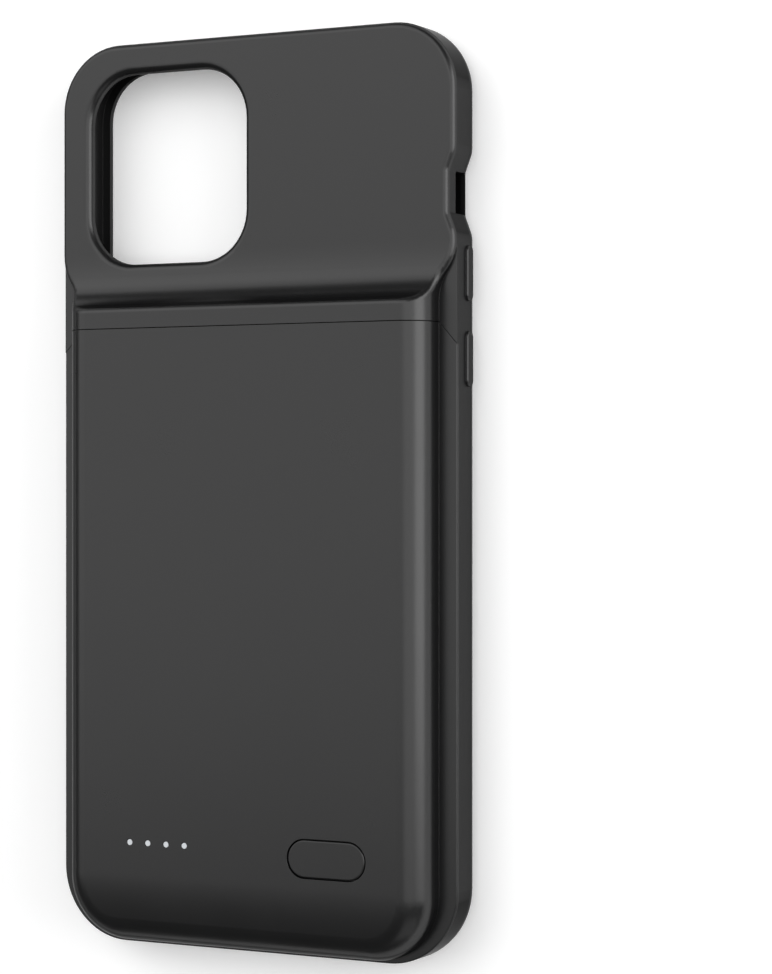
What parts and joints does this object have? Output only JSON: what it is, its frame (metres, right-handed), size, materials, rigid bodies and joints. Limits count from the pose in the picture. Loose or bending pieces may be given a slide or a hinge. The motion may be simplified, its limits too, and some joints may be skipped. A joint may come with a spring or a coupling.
{
  "type": "battery charging case",
  "caption": "Phone case with a battery hump on its back, a camera window, indicator lights, a press button, a charging plug inside the lower end and a charge port in the chin.",
  "frame": {"origin": "centre of the case's outline on the plane of its front lip, on which it lies face down", "axes": "+Z out of the back, +Y to the camera end, +X to the side with the mute-switch notch"},
  "size_m": [0.0778, 0.1568, 0.0153],
  "materials": {
    "soft_black": "soft-touch matt moulding",
    "hard_black": "fine matt moulding",
    "tray_grey": "plain moulding",
    "button_black": "satin moulding",
    "light_white": "milky light pipe",
    "steel": "plated",
    "board_green": "solder mask",
    "gold": "gold plated",
    "chip_black": "moulded package",
    "ferrite": "fired ferrite",
    "tan_ceramic": "fired ceramic",
    "foil": "laminated foil",
    "nickel": "nickel strip",
    "foam": "closed-cell foam",
    "lead_red": "insulated wire",
    "lead_black": "insulated wire",
    "flex_amber": "film"
  },
  "bodies": {
    "case": {"battery_cell": "foil", "battery_cover": "hard_black", "board_screws": "steel", "boost_inductor": "ferrite", "bumper": "soft_black", "cell_foam": "foam", "cell_tabs": "nickel", "charge_controller": "chip_black", "charge_port_shell": "steel", "charge_port_tongue": "chip_black", "chip_capacitors": "tan_ceramic", "flex_cable": "flex_amber", "inner_tray": "tray_grey", "lead_negative": "lead_black", "lead_positive": "lead_red", "light_emitters": "light_white", "light_guide": "light_white", "main_board": "board_green", "plug_base": "tray_grey", "plug_board": "board_green", "plug_carrier": "tray_grey", "plug_contacts": "gold", "plug_tongue": "steel", "port_contacts": "gold", "protection_board": "board_green", "switch_body": "steel", "tray_screws": "steel"},
    "button": {"power_button": "button_black", "switch_plunger": "button_black"}
  },
  "joints": [
    {"name": "button_press", "type": "slide", "parent": "case", "child": "button", "axis": [0, 0, 1], "range_m": [-0.0003, 0], "stiffness_N_per_m": 4000, "springref_m": 0.0001}
  ]
}
